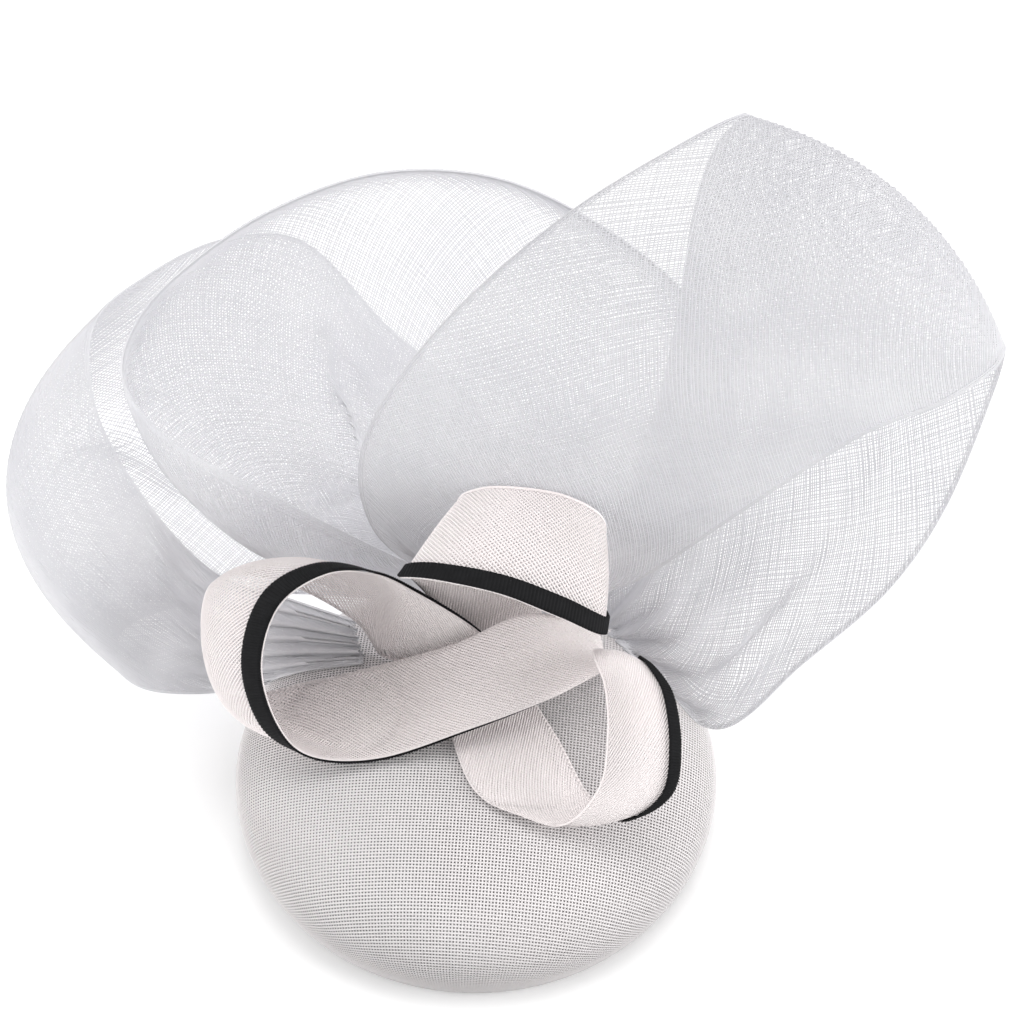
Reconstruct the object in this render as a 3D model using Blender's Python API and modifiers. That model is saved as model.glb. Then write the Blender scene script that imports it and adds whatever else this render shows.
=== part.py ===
"""Mesh bridal fascinator: a straw-weave base, three crin ribbon loops and a straw-weave bow.

Metres, +Z up. The base stands on its rim and the viewer's side is -Y. The loops fan out
from a knot on the back of the crown, on a plane that leans back. A place on that fan is
given by three lengths from the knot: spread to the right, rise up the fan, and stand out
of it towards the viewer.
"""

import math

import bpy
import numpy as np

# Base
BASE_RADIUS = 0.073
BASE_HEIGHT = 0.042
BASE_WIDEST_HEIGHT = 0.014
BASE_RIM_TUCK = 0.004
BASE_WALL = 0.003
CROWN_ROUNDNESS = 2.2
BASE_SIDES = 44

# Fan of loops
FAN_LEAN = math.radians(35)
KNOT_BACK_SHARE = 0.41
FAN_SPREAD = 0.156
FAN_RISE = 0.160
FAN_STAND = 0.060
SIGHT_SLOPE = math.radians(15)

# Cloth
CRIN_WALL = 0.001
CRIN_PLEAT = 0.0012
CRIN_PLEATS = 5
BOWL_WALL = 0.040
STRAW_WALL = 0.001
EDGING_WIDTH = 0.006
EDGING_WALL = 0.001
GAP = 0.0003
BOWL_GATHER = 0.010
BOWL_GATHER_RISE = 0.008
BOWL_GATHER_BACK = 0.012
BOWL_FLOOR_REACH = 0.5
GATHER_START = math.radians(200)
GATHER_SWEEP = math.radians(220)
STRAW_WIDTH = 0.040
EDGE_SHARE = EDGING_WIDTH / STRAW_WIDTH

# Comb
COMB_LENGTH = 0.050
COMB_ABOVE_RIM = 0.0035
COMB_HEIGHT = 0.0045
COMB_WALL = 0.0020
COMB_TEETH = 11
TOOTH_LENGTH = 0.034
TOOTH_WIDTH = 0.0016

# Loop tables. Spread, rise and stand are shares of FAN_SPREAD, FAN_RISE and FAN_STAND.
# bow: how far the section bulges outwards, as a share of its own width.
# pleat: share of CRIN_PLEAT.
# low_spread, low_rise, low_stand, high_spread, high_rise, high_stand, bow, pleat
LEFT_CRIN = (
    (-0.22, -0.04, 0.03, -0.24, 0.05, -0.02, 0.00, 1.0),
    (-0.34, -0.07, -0.05, -0.36, 0.08, -0.12, 0.02, 0.8),
    (-0.50, -0.11, -0.18, -0.51, 0.13, -0.15, 0.06, 0.3),
    (-0.63, -0.11, -0.18, -0.63, 0.28, 0.03, 0.12, 0.0),
    (-0.70, -0.09, -0.27, -0.73, 0.46, 0.00, 0.21, 0.0),
    (-0.73, -0.06, -0.50, -0.74, 0.61, -0.20, 0.28, 0.0),
    (-0.69, -0.03, -0.76, -0.65, 0.68, -0.50, 0.19, 0.0),
    (-0.53, 0.01, -0.80, -0.50, 0.74, -0.70, 0.10, 0.0),
    (-0.36, 0.03, -0.70, -0.34, 0.73, -0.75, 0.05, 0.1),
    (-0.20, 0.03, -0.57, -0.18, 0.57, -0.72, 0.03, 0.5),
    (-0.13, 0.00, -0.56, 0.03, 0.36, -0.70, 0.00, 0.8),
    (-0.10, -0.04, -0.56, 0.08, 0.02, -0.60, 0.00, 1.0),
)
RIGHT_CRIN = (
    (0.17, 0.03, 0.00, 0.07, 0.05, -0.06, 0.00, 1.0),
    (0.25, 0.12, 0.12, -0.08, 0.14, 0.03, 0.00, 0.6),
    (0.34, 0.17, 0.20, -0.20, 0.25, 0.12, 0.02, 0.2),
    (0.51, 0.31, 0.40, -0.21, 0.44, 0.38, 0.06, 0.0),
    (0.72, 0.47, 0.60, -0.07, 0.67, 0.62, 0.14, 0.0),
    (0.88, 0.53, 0.55, 0.16, 0.88, 0.68, 0.15, 0.0),
    (0.98, 0.58, 0.40, 0.39, 1.02, 0.66, 0.14, 0.0),
    (1.01, 0.60, 0.17, 0.50, 1.06, 0.53, 0.12, 0.0),
    (1.00, 0.50, -0.03, 0.45, 0.99, 0.36, 0.10, 0.0),
    (0.92, 0.27, -0.12, 0.41, 0.85, 0.26, 0.08, 0.0),
    (0.81, 0.11, -0.06, 0.39, 0.69, 0.19, 0.06, 0.0),
    (0.64, -0.02, 0.10, 0.35, 0.49, 0.13, 0.04, 0.3),
    (0.47, -0.14, 0.20, 0.29, 0.32, 0.03, 0.02, 0.7),
    (0.31, -0.05, -0.15, 0.22, 0.04, -0.30, 0.00, 1.0),
)
# wall: share of BOWL_WALL that the rim drops away from the viewer.
# flare: how far that drop leans outwards, as a share of it.
# rim_spread, rim_rise, rim_stand, wall, flare
MIDDLE_CRIN = (
    (-0.08, 0.12, -0.20, 0.2, 0.3),
    (-0.22, 0.21, 0.02, 0.8, 0.6),
    (-0.42, 0.35, 0.35, 1.0, 0.6),
    (-0.58, 0.44, 0.35, 1.0, 0.4),
    (-0.67, 0.54, 0.23, 1.0, 0.1),
    (-0.65, 0.64, 0.15, 1.0, 0.0),
    (-0.56, 0.74, 0.10, 1.0, 0.0),
    (-0.39, 0.85, 0.05, 0.8, 0.0),
    (-0.18, 0.92, 0.03, 0.6, 0.0),
    (0.04, 0.91, 0.02, 0.6, 0.0),
    (0.24, 0.82, 0.02, 0.8, 0.0),
    (0.41, 0.68, 0.00, 1.0, 0.0),
    (0.50, 0.48, -0.05, 1.0, 0.0),
    (0.47, 0.31, -0.12, 0.9, 0.0),
    (0.33, 0.19, -0.20, 0.6, 0.0),
    (0.14, 0.12, -0.26, 0.2, 0.0),
)
# front_spread, front_rise, front_stand, back_spread, back_rise, back_stand, bow
LEFT_STRAW = (
    (0.255, 0.00, 0.36, 0.235, 0.075, 0.30, 0.00),
    (0.14, -0.035, 0.57, 0.10, 0.11, 0.42, 0.03),
    (-0.01, -0.08, 0.68, -0.04, 0.045, 0.36, 0.06),
    (-0.18, -0.14, 0.65, -0.19, -0.02, 0.16, 0.08),
    (-0.31, -0.135, 0.67, -0.34, -0.06, 0.12, 0.12),
    (-0.375, -0.075, 0.67, -0.48, -0.08, 0.14, 0.15),
    (-0.405, 0.04, 0.67, -0.53, 0.02, 0.14, 0.17),
    (-0.37, 0.155, 0.67, -0.51, 0.14, 0.12, 0.16),
    (-0.28, 0.215, 0.67, -0.39, 0.14, 0.06, 0.14),
    (-0.19, 0.21, 0.62, -0.24, 0.06, 0.04, 0.09),
    (-0.11, 0.16, 0.50, -0.17, -0.03, 0.05, 0.04),
    (0.00, 0.07, 0.32, -0.06, -0.06, 0.15, 0.00),
    (0.07, -0.02, 0.17, 0.02, -0.08, 0.22, 0.00),
)
TOP_STRAW = (
    (0.05, -0.03, 0.10, 0.15, -0.02, 0.02, 0.00),
    (-0.05, 0.09, 0.27, 0.11, 0.13, 0.19, 0.00),
    (-0.12, 0.19, 0.50, 0.03, 0.24, 0.38, 0.02),
    (-0.135, 0.222, 0.78, -0.03, 0.33, 0.47, 0.03),
    (-0.07, 0.232, 0.92, 0.01, 0.362, 0.50, 0.05),
    (0.05, 0.21, 0.96, 0.09, 0.365, 0.52, 0.08),
    (0.16, 0.163, 0.93, 0.18, 0.345, 0.50, 0.08),
    (0.24, 0.117, 0.80, 0.245, 0.295, 0.45, 0.04),
    (0.228, 0.125, 0.36, 0.238, 0.19, 0.26, 0.02),
    (0.222, 0.085, 0.18, 0.232, 0.11, 0.15, 0.00),
    (0.205, -0.03, 0.02, 0.225, -0.01, -0.04, 0.00),
)
RIGHT_STRAW = (
    (0.10, -0.05, 0.33, -0.05, -0.10, 0.52, 0.00),
    (0.16, -0.12, 0.57, 0.00, -0.19, 0.78, 0.04),
    (0.22, -0.20, 0.80, 0.09, -0.22, 0.92, 0.06),
    (0.30, -0.21, 0.97, 0.17, -0.23, 0.97, 0.08),
    (0.37, -0.155, 1.07, 0.235, -0.15, 1.03, 0.14),
    (0.385, -0.07, 1.07, 0.25, -0.05, 1.00, 0.18),
    (0.37, 0.02, 0.95, 0.245, 0.025, 0.87, 0.16),
    (0.325, 0.052, 0.75, 0.225, 0.07, 0.68, 0.10),
    (0.31, 0.00, 0.43, 0.275, 0.02, 0.35, 0.04),
    (0.31, -0.05, 0.23, 0.28, -0.04, 0.12, 0.00),
)

KNOT_BACK = KNOT_BACK_SHARE * BASE_RADIUS
ABOVE_WIDEST = BASE_HEIGHT - BASE_WIDEST_HEIGHT
PATH_STEPS = 24
SLOPE_STEP = 0.0005
BOWL_ROWS, BOWL_COLUMNS = 40, 14
LEFT_ROWS, RIGHT_ROWS, STRAW_ROWS = 32, 34, 34
CRIN_COLUMNS = np.linspace(0, 1, 16)
STRAW_COLUMNS = (0.0, EDGE_SHARE, 0.43, 0.72, 1.0)


def crown_height(radius):
    """Height of the outside of the crown at a distance from the base's axis."""
    share = np.clip(radius / BASE_RADIUS, 0.0, 0.999)
    power = CROWN_ROUNDNESS
    return BASE_WIDEST_HEIGHT + ABOVE_WIDEST * (1 - share**power) ** (1 / power)


def crown_clearance(radius, lift):
    """Height that keeps a point lift away from the crown, measured square to its slope."""
    near, far = crown_height(radius - SLOPE_STEP), crown_height(radius + SLOPE_STEP)
    slope = (far - near) / (2 * SLOPE_STEP)
    return crown_height(radius) + lift * np.sqrt(1 + slope**2)


KNOT = np.array((0.0, KNOT_BACK, float(crown_height(KNOT_BACK))))
ACROSS_FAN = np.array((1.0, 0.0, 0.0))
UP_FAN = np.array((0.0, math.sin(FAN_LEAN), math.cos(FAN_LEAN)))
OUT_OF_FAN = np.array((0.0, -math.cos(FAN_LEAN), math.sin(FAN_LEAN)))
FAN_SIZES = np.array((FAN_SPREAD, FAN_RISE, FAN_STAND))
BOWL_CENTRE = KNOT + BOWL_GATHER_RISE * UP_FAN - BOWL_GATHER_BACK * OUT_OF_FAN

# Least height of each cloth's middle surface above the crown
CRIN_LIFT = 2 * GAP + CRIN_WALL / 2
STRAW_LIFT = 2 * GAP + EDGING_WALL + STRAW_WALL / 2
EDGING_LIFT = GAP + EDGING_WALL / 2
EDGING_OFFSET = STRAW_WALL / 2 + 4 * GAP + EDGING_WALL / 2


def fan_points(shares):
    """World points of places on the fan given as shares of its three sizes."""
    lengths = np.asarray(shares) * FAN_SIZES
    return KNOT + lengths @ np.array((ACROSS_FAN, UP_FAN, OUT_OF_FAN))


def smooth_rows(rows):
    """Rows read along a Catmull-Rom curve, PATH_STEPS to each span of the table."""
    rows = np.asarray(rows, float)
    first = 2 * rows[0] - rows[1]
    last = 2 * rows[-1] - rows[-2]
    knots = np.vstack((first, rows, last))
    spans = len(rows) - 1
    at = np.linspace(0, spans, spans * PATH_STEPS + 1)
    index = np.minimum(at.astype(int), spans - 1)
    t = (at - index)[:, None]
    p0, p1, p2, p3 = (knots[index + k] for k in range(4))
    bend = 2 * p0 - 5 * p1 + 4 * p2 - p3
    twist = 3 * p1 - p0 - 3 * p2 + p3
    return 0.5 * (2 * p1 + (p2 - p0) * t + bend * t**2 + twist * t**3)


def even_rows(values, middles, count):
    """Values read again at count even steps along the path of the middles."""
    steps = np.linalg.norm(np.diff(middles, axis=0), axis=1)
    along = np.concatenate(((0.0,), np.cumsum(steps)))
    wanted = np.linspace(0, along[-1], count)
    return np.stack([np.interp(wanted, along, column) for column in values.T], axis=1)


def unit(vectors):
    """Vectors of length 1."""
    return vectors / np.linalg.norm(vectors, axis=-1, keepdims=True)


def lift_clear(points, lift):
    """Points raised where they would come nearer than lift to the crown."""
    points = points.copy()
    radius = np.hypot(points[..., 0], points[..., 1])
    over = radius < BASE_RADIUS
    floor = crown_clearance(radius, lift)
    points[..., 2] = np.where(over, np.maximum(points[..., 2], floor), points[..., 2])
    return points


def ribbon_surface(table, along, share, facing, pleats, lift, offset=0.0):
    """Grid of points of a looped ribbon.

    Each table row gives the ribbon's two edges, then its outward bow and pleats if it has
    them. share lists the places across the width. facing is 1 or -1, to turn the outward
    side, and offset moves the surface outwards.
    """
    flat = np.zeros((len(table), 8 - len(table[0])))
    dense = smooth_rows(np.hstack((table, flat)))
    first = fan_points(dense[:, 0:3])
    second = fan_points(dense[:, 3:6])
    values = np.hstack((first, second, dense[:, 6:8]))
    rows = even_rows(values, (first + second) / 2, along)
    first, second = rows[:, None, 0:3], rows[:, None, 3:6]
    bow, pleat = rows[:, 6:7], rows[:, 7:8]
    travel = np.gradient((rows[:, 0:3] + rows[:, 3:6]) / 2, axis=0)
    width = second - first
    outward = facing * unit(np.cross(travel[:, None, :], width))
    share = np.asarray(share)[None, :]
    span = np.linalg.norm(width, axis=-1)
    bulge = bow * span * 4 * share * (1 - share)
    fold = pleat * CRIN_PLEAT * np.sin(2 * math.pi * pleats * share)
    points = first + width * share[..., None] + outward * (bulge + fold + offset)[..., None]
    return lift_clear(points, lift)


def bowl_surface(table, along, across, lift):
    """Grid of points of the crin bowl, from its rim to the selvedge gathered at the knot."""
    dense = smooth_rows(table)
    rim = fan_points(dense[:, 0:3])
    rows = even_rows(np.hstack((rim, dense[:, 3:5])), rim, along)
    rim = rows[:, None, 0:3]
    wall, flare = rows[:, None, 3:4], rows[:, None, 4:5]
    share = np.linspace(0, 1, along)[:, None]
    turn = GATHER_START - share * GATHER_SWEEP
    ring = np.hstack((BOWL_GATHER * np.cos(turn), BOWL_GATHER * np.sin(turn), 0 * turn))
    gather = BOWL_CENTRE + ring @ np.array((ACROSS_FAN, UP_FAN, OUT_OF_FAN))
    gather = gather[:, None, :]
    outward = unit(np.cross(OUT_OF_FAN, np.gradient(rim, axis=0)))
    away = -(math.cos(SIGHT_SLOPE) * OUT_OF_FAN + math.sin(SIGHT_SLOPE) * UP_FAN)
    corner = rim + wall * BOWL_WALL * (away + flare * outward)
    ease = gather + BOWL_FLOOR_REACH * (corner - gather)
    s = np.linspace(0, 1, across)[None, :, None]
    points = rim * (1 - s) ** 4 + 4 * corner * s * (1 - s) ** 3 + 6 * corner * (s * (1 - s)) ** 2
    points = points + 4 * ease * s**3 * (1 - s) + gather * s**4
    return lift_clear(points, lift)


def material(name, colour, roughness):
    """A plain Principled material."""
    made = bpy.data.materials.new(name)
    made.use_nodes = True
    shader = made.node_tree.nodes["Principled BSDF"]
    shader.inputs["Base Color"].default_value = (*colour, 1.0)
    shader.inputs["Roughness"].default_value = roughness
    shader.inputs["Metallic"].default_value = 0.0
    return made


def add_object(name, vertices, edges, faces, finish):
    """A new mesh object in the fascinator's collection."""
    mesh = bpy.data.meshes.new(name)
    mesh.from_pydata([tuple(map(float, v)) for v in vertices], edges, faces)
    mesh.materials.append(finish)
    made = bpy.data.objects.new(name, mesh)
    collection.objects.link(made)
    made.parent = seat
    return made


def add_cloth(name, points, wall, finish):
    """An open grid surface given an even wall by Solidify."""
    along, across = points.shape[:2]
    index = np.arange(along * across).reshape(along, across)
    corners = (index[:-1, :-1], index[1:, :-1], index[1:, 1:], index[:-1, 1:])
    faces = np.stack(corners, axis=-1).reshape(-1, 4).tolist()
    made = add_object(name, points.reshape(-1, 3), [], faces, finish)
    solidify = made.modifiers.new("Wall", "SOLIDIFY")
    solidify.thickness = wall
    solidify.offset = 0.0
    made.data.shade_smooth()
    return made


def base_profile():
    """Outer line of the base from the crown's top to the rim, then the inner line back."""
    angles = np.linspace(math.pi / 2, 0, 9)
    outer = crown_line(angles, BASE_RADIUS, BASE_HEIGHT)
    tuck = np.linspace(0, 1, 4)[1:]
    radius = BASE_RADIUS - BASE_RIM_TUCK * tuck**2
    outer_wall = np.stack((radius, BASE_WIDEST_HEIGHT * (1 - tuck)), axis=1)
    inner = crown_line(angles, BASE_RADIUS - BASE_WALL, BASE_HEIGHT - BASE_WALL)
    inner_wall = outer_wall - (BASE_WALL, 0.0)
    return np.vstack((outer, outer_wall, inner_wall[::-1], inner[::-1]))


def crown_line(angles, radius, height):
    """Upper part of a profile, a rounded arch from the axis to the widest point."""
    power = 2 / CROWN_ROUNDNESS
    across = radius * np.cos(angles) ** power
    across[0] = 0.0
    up = BASE_WIDEST_HEIGHT + (height - BASE_WIDEST_HEIGHT) * np.sin(angles) ** power
    return np.stack((across, up), axis=1)


def add_base(finish):
    """The hollow base, a profile turned about the Z axis."""
    profile = base_profile()
    vertices = [(x, 0.0, z) for x, z in profile]
    edges = [(k, k + 1) for k in range(len(vertices) - 1)]
    made = add_object("base_cap", vertices, edges, [], finish)
    screw = made.modifiers.new("Turn", "SCREW")
    screw.angle = 2 * math.pi
    screw.steps = BASE_SIDES
    screw.render_steps = BASE_SIDES
    screw.use_merge_vertices = True
    screw.merge_threshold = 0.00005
    return made


def add_comb(finish):
    """A curved bar that follows the inside of the front wall, with teeth that point back."""
    low = COMB_ABOVE_RIM
    tuck = BASE_RIM_TUCK * (1 - low / BASE_WIDEST_HEIGHT) ** 2
    facet = math.cos(math.pi / BASE_SIDES)
    outer = (BASE_RADIUS - tuck - BASE_WALL) * facet - GAP
    inner = outer - COMB_WALL
    half_turn = COMB_LENGTH / 2 / outer
    turns = np.linspace(-half_turn, half_turn, 2 * COMB_TEETH)
    high = low + COMB_HEIGHT
    section = ((outer, low), (outer, high), (inner, high), (inner, low))
    vertices = [(r * math.sin(a), -r * math.cos(a), z) for a in turns for r, z in section]
    faces = [(0, 1, 2, 3)]
    for k in range(len(turns) - 1):
        for side in range(4):
            a, b = 4 * k + side, 4 * k + (side + 1) % 4
            on_tooth = side == 2 and k % 2 == 0
            if not on_tooth:
                faces.append((a, a + 4, b + 4, b))
                continue
            root = (a, a + 4, b + 4, b)
            faces.extend(tooth(vertices, root))
    last = len(turns) * 4
    faces.append((last - 1, last - 2, last - 3, last - 4))
    made = add_object("hair_comb", vertices, [], faces, finish)
    return made


def tooth(vertices, root):
    """Faces of one tooth drawn out of four vertices of the bar's inner side."""
    start = len(vertices)
    centre = sum(vertices[k][0] for k in root) / 4
    height = sum(vertices[k][2] for k in root) / 4
    tip_y = min(vertices[k][1] for k in root) + TOOTH_LENGTH
    half = TOOTH_WIDTH / 2
    for k in root:
        x = centre + math.copysign(half, vertices[k][0] - centre)
        z = height + math.copysign(half, vertices[k][2] - height)
        vertices.append((x, tip_y, z))
    faces = []
    for side in range(4):
        here, there = root[side], root[(side + 1) % 4]
        faces.append((here, there, start + (side + 1) % 4, start + side))
    faces.append(tuple(start + k for k in range(4)))
    return faces


for old in list(bpy.data.objects):
    bpy.data.objects.remove(old, do_unlink=True)

collection = bpy.data.collections.new("mesh_bridal_fascinator")
bpy.context.scene.collection.children.link(collection)
seat = bpy.data.objects.new("fascinator_seat", None)
collection.objects.link(seat)

straw = material("straw_weave", (0.86, 0.82, 0.81), 0.7)
crin = material("crin_mesh", (0.74, 0.74, 0.78), 0.4)
edging = material("black_grosgrain", (0.02, 0.02, 0.022), 0.6)
plastic = material("comb_plastic", (0.80, 0.80, 0.80), 0.3)

add_base(straw)
add_comb(plastic)

left = ribbon_surface(LEFT_CRIN, LEFT_ROWS, CRIN_COLUMNS, -1, CRIN_PLEATS, CRIN_LIFT)
add_cloth("crin_loop_left", left, CRIN_WALL, crin)
middle = bowl_surface(MIDDLE_CRIN, BOWL_ROWS, BOWL_COLUMNS, CRIN_LIFT)
add_cloth("crin_loop_middle", middle, CRIN_WALL, crin)
right = ribbon_surface(RIGHT_CRIN, RIGHT_ROWS, CRIN_COLUMNS, 1, CRIN_PLEATS, CRIN_LIFT)
add_cloth("crin_loop_right", right, CRIN_WALL, crin)

for side, table in (("left", LEFT_STRAW), ("top", TOP_STRAW), ("right", RIGHT_STRAW)):
    points = ribbon_surface(table, STRAW_ROWS, STRAW_COLUMNS, 1, 0, STRAW_LIFT)
    add_cloth(f"sinamay_loop_{side}", points, STRAW_WALL, straw)
    band = ribbon_surface(table, STRAW_ROWS, STRAW_COLUMNS[:2], 1, 0, EDGING_LIFT, EDGING_OFFSET)
    add_cloth(f"ribbon_edge_{side}", band, EDGING_WALL, edging)

# The middle of the outer box, at its foot, is the origin
view_layer = bpy.context.view_layer
view_layer.update()
shapes = view_layer.depsgraph
corners = []
for piece in collection.objects:
    if piece.type == "MESH":
        corners.extend(piece.matrix_world @ v.co for v in piece.evaluated_get(shapes).data.vertices)
reach = np.array(corners)
middle_of_box = (reach.min(axis=0) + reach.max(axis=0)) / 2
seat.location = (-middle_of_box[0], -middle_of_box[1], -reach[:, 2].min())
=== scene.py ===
"""Mesh bridal fascinator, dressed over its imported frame.

Three wide crin ribbons loop up from a knot on a blocked straw-weave cap, with a small
straw-weave bow in front of them that is edged in black grosgrain.
"""

import math

import bpy
import numpy as np
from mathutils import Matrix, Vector


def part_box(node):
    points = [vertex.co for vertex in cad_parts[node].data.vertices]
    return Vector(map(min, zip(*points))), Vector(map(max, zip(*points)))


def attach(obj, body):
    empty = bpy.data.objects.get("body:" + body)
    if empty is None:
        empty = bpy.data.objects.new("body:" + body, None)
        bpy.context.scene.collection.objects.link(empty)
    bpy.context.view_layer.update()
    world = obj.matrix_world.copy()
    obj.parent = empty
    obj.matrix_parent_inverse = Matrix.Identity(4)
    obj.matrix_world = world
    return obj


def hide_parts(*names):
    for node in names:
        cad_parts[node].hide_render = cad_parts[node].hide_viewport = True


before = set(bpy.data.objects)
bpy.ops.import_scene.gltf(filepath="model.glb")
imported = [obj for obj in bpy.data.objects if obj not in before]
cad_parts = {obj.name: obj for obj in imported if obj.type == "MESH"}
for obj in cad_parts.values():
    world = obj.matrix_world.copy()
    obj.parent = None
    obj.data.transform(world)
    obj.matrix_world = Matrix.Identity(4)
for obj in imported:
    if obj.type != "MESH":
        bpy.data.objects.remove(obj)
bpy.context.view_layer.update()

# Studio: the fascinator stands on a plain white table under soft light from all round, with
# large lamps above, at both sides and low in front. All is measured from the cap's own axis.
cap_low, cap_high = (np.array(corner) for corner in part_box("base_cap"))
cap_axis = np.array(((cap_low[0] + cap_high[0]) / 2, (cap_low[1] + cap_high[1]) / 2, 0.0))

CAMERA_PLACE = (0.0110, -0.7346, 1.0155)
CAMERA_TARGET = (0.0110, 0.0689, 0.0579)
CAMERA_LENS = 142.4
CAMERA_SENSOR = 36.0
TABLE_REACH = 3.0
TABLE_TINT = (0.95, 0.95, 0.95)
TABLE_GLOW = 0.12
SKY_BEHIND = (0.0, 0.55, 0.60)
SKY_DIM_BELOW = -0.55
SKY_BRIGHT_ABOVE = 0.6
SKY_DIM = (0.58, 0.58, 0.58)
SKY_STRENGTH = 0.71
LAMP_WIDTH = 0.9
LAMP_TARGET = (0, 0, 0.05)

camera_data = bpy.data.cameras.new("photo_camera")
camera_data.sensor_width = CAMERA_SENSOR
camera_data.lens = CAMERA_LENS
camera_data.clip_start = 0.05
camera = bpy.data.objects.new("photo_camera", camera_data)
bpy.context.scene.collection.objects.link(camera)
camera.location = cap_axis + CAMERA_PLACE
looking = Vector(cap_axis + CAMERA_TARGET) - camera.location
camera.rotation_euler = looking.to_track_quat("-Z", "Y").to_euler()
bpy.context.scene.camera = camera
bpy.context.scene.view_settings.view_transform = "Standard"

table_mesh = bpy.data.meshes.new("table_top")
corner_sides = ((-1, -1), (1, -1), (1, 1), (-1, 1))
table_corners = [(TABLE_REACH * x, TABLE_REACH * y, 0) for x, y in corner_sides]
table_mesh.from_pydata(table_corners, [], [(0, 1, 2, 3)])
table_top = bpy.data.objects.new("table_top", table_mesh)
bpy.context.scene.collection.objects.link(table_top)
white_top = bpy.data.materials.new("white_top")
white_top.use_nodes = True
white_shader = white_top.node_tree.nodes["Principled BSDF"]
white_shader.inputs["Base Color"].default_value = (*TABLE_TINT, 1)
white_shader.inputs["Roughness"].default_value = 0.9
white_shader.inputs["Specular IOR Level"].default_value = 0.1
white_shader.inputs["Emission Color"].default_value = (1, 1, 1, 1)
white_shader.inputs["Emission Strength"].default_value = TABLE_GLOW
table_mesh.materials.append(white_top)

# The sky is white behind and above, and dimmer in front and below
world = bpy.data.worlds.new("soft_white")
world.use_nodes = True
sky = world.node_tree
sky_way = sky.nodes.new("ShaderNodeTexCoord")
sky_side = sky.nodes.new("ShaderNodeVectorMath")
sky_side.operation = "DOT_PRODUCT"
sky_side.inputs[1].default_value = SKY_BEHIND
sky_share = sky.nodes.new("ShaderNodeMapRange")
sky_share.inputs["From Min"].default_value = SKY_DIM_BELOW
sky_share.inputs["From Max"].default_value = SKY_BRIGHT_ABOVE
sky_ramp = sky.nodes.new("ShaderNodeValToRGB")
sky_ramp.color_ramp.elements[0].color = (*SKY_DIM, 1)
sky_ramp.color_ramp.elements[1].color = (1.0, 1.0, 1.0, 1)
sky.links.new(sky_way.outputs["Generated"], sky_side.inputs[0])
sky.links.new(sky_side.outputs["Value"], sky_share.inputs["Value"])
sky.links.new(sky_share.outputs["Result"], sky_ramp.inputs["Fac"])
sky.links.new(sky_ramp.outputs["Color"], sky.nodes["Background"].inputs["Color"])
sky.nodes["Background"].inputs["Strength"].default_value = SKY_STRENGTH
bpy.context.scene.world = world

for lamp_name, lamp_watts, lamp_place in (
    ("top_lamp", 6.6, (0.1, 0.2, 1.5)),
    ("left_lamp", 6.8, (-1.2, -0.3, 0.45)),
    ("right_lamp", 9.5, (1.2, -0.3, 0.45)),
    ("front_lamp", 1.6, (-0.5, -1.0, 0.25)),
):
    lamp_data = bpy.data.lights.new(lamp_name, "AREA")
    lamp_data.shape = "DISK"
    lamp_data.size = LAMP_WIDTH
    lamp_data.energy = lamp_watts
    lamp = bpy.data.objects.new(lamp_name, lamp_data)
    bpy.context.scene.collection.objects.link(lamp)
    lamp.location = lamp_place
    lamp_aim = Vector(LAMP_TARGET) - lamp.location
    lamp.rotation_euler = lamp_aim.to_track_quat("-Z", "Y").to_euler()


# Cap: a sheet of open straw weave (sinamay) wetted and blocked into a shallow bun, with its
# edge turned in at the rim. The solid cap is its stiffened inside, painted dark between the
# threads as painted shade of the hollow behind them; the threads that show are laid over it
# one by one, in the two directions of the weave.
CAP_RADIUS = 0.073
CAP_HEIGHT = 0.042
CAP_WIDEST = 0.014
CAP_TUCK = 0.004
CAP_ROUNDNESS = 2.2
CAP_PITCH = 0.00102
CAP_THREAD = 0.00065
CAP_THREAD_DEPTH = 0.00022
CAP_LIFT = 0.00018
CAP_TURN = math.radians(-4)
CAP_STEPS = 58
CAP_OVER = 0.4
ARCH_STEPS = 300
WALL_STEPS = 60
STRAW_GRAIN = 1400.0
STRAW_CLOUD = 22.0
STRAW_CLOUD_SHARE = 0.45
STRAW_FUZZ = 0.0002
INSIDE_GRAIN = 900.0
# Between the cap's threads: painted shade at the left and middle, turning to painted light by
# the right
GAP_PAINTED_SHADE_FROM = -0.010
INSIDE_STRAW_AND_PAINTED_LIGHT_BY = 0.7 * CAP_RADIUS
CAP_TINT = (0.86, 0.828, 0.83)
CAP_SHADE = (0.79, 0.758, 0.76)
# Painted shade on the cap's threads, darkening them towards the rim
RIM_PAINTED_SHADE = 0.60
RIM_PAINTED_SHADE_TOP = CAP_WIDEST * 2.2
# Painted gap shade, and painted gap light that is also the straw of the cap's inside
GAP_PAINTED_SHADE = (0.20, 0.192, 0.192)
INSIDE_STRAW_AND_PAINTED_LIGHT = (0.80, 0.765, 0.76)


def cap_profile():
    """Radius, height and distance along the cloth, from the crown's middle to the rim.

    The arch is a superellipse, radius = R cos(a)^(2/n) and height = H sin(a)^(2/n), and
    below the widest place the wall draws in by the tuck times the square of the way down.
    """
    power = 2 / CAP_ROUNDNESS
    angle = np.linspace(math.pi / 2, 0, ARCH_STEPS)
    arch_radius = CAP_RADIUS * np.maximum(np.cos(angle), 0) ** power
    arch_height = CAP_WIDEST + (CAP_HEIGHT - CAP_WIDEST) * np.sin(angle) ** power
    down = np.linspace(0, 1, WALL_STEPS)[1:]
    wall_radius = CAP_RADIUS - CAP_TUCK * down**2
    wall_height = CAP_WIDEST * (1 - down) + CAP_THREAD_DEPTH * down
    radius = np.concatenate((arch_radius, wall_radius))
    height = np.concatenate((arch_height, wall_height))
    steps = np.hypot(np.diff(radius), np.diff(height))
    return radius, height, np.concatenate(((0.0,), np.cumsum(steps)))


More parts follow.
